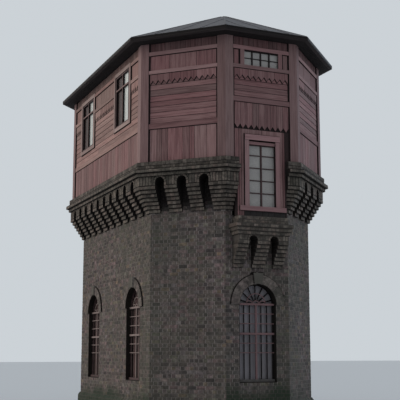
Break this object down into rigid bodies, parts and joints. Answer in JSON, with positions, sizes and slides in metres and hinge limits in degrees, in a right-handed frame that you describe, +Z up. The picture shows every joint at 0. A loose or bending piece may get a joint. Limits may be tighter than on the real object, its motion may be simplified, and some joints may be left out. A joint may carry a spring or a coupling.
{
  "type": "water tower",
  "caption": "Octagonal brick water tower with a corbelled brick cornice and a red boarded timber tank house under a low hipped roof.",
  "frame": {"origin": "middle of the plan at ground level, under the tower", "axes": "+Z up; +Y along the tower's long side, with the end face of the picture looking to -Y; -X the long face at the picture's left"},
  "size_m": [5.64, 9.7, 10.38],
  "materials": {
    "brick": "weathered dark brick with light joints",
    "red_boards": "faded red-brown paint on boards",
    "red_trim": "faded red-brown paint on planed boards",
    "window_paint": "worn pinkish-brown paint",
    "window_glass": "old dusty window glass",
    "roof_sheet": "matt grey seamed sheet",
    "eave_boards": "near-black weathered boards",
    "ground_slab": "plain cement",
    "floor_planks": "bare planks"
  },
  "bodies": {
    "root": {"brick_wall_south": "brick", "brick_wall_southeast": "brick", "brick_wall_east": "brick", "brick_wall_northeast": "brick", "brick_wall_north": "brick", "brick_wall_northwest": "brick", "brick_wall_west": "brick", "brick_wall_southwest": "brick", "cornice_east": "brick", "cornice_west": "brick", "cornice_southeast": "brick", "cornice_northeast": "brick", "cornice_northwest": "brick", "cornice_southwest": "brick", "bay_base_south": "brick", "tall_window_south": "window_paint", "small_window_south": "window_paint", "arched_window_south": "window_paint", "bay_base_north": "brick", "tall_window_north": "window_paint", "small_window_north": "window_paint", "arched_window_north": "window_paint", "board_wall_south": "red_boards", "timber_frame_south": "red_trim", "board_wall_southeast": "red_boards", "timber_frame_southeast": "red_trim", "board_wall_east": "red_boards", "timber_frame_east": "red_trim", "board_wall_northeast": "red_boards", "timber_frame_northeast": "red_trim", "board_wall_north": "red_boards", "timber_frame_north": "red_trim", "board_wall_northwest": "red_boards", "timber_frame_northwest": "red_trim", "board_wall_west": "red_boards", "timber_frame_west": "red_trim", "board_wall_southwest": "red_boards", "timber_frame_southwest": "red_trim", "arched_window_east_left": "window_paint", "side_window_east_left": "window_paint", "arched_window_east_right": "window_paint", "side_window_east_right": "window_paint", "arched_window_west_left": "window_paint", "side_window_west_left": "window_paint", "arched_window_west_right": "window_paint", "side_window_west_right": "window_paint", "upper_glass_south": "window_glass", "lower_glass_south": "window_glass", "upper_glass_east": "window_glass", "lower_glass_east_left": "window_glass", "lower_glass_east_right": "window_glass", "upper_glass_north": "window_glass", "lower_glass_north": "window_glass", "upper_glass_west": "window_glass", "lower_glass_west_left": "window_glass", "lower_glass_west_right": "window_glass", "eaves": "eave_boards", "roof": "roof_sheet", "ground_floor": "ground_slab", "tank_floor": "floor_planks"}
  },
  "joints": []
}
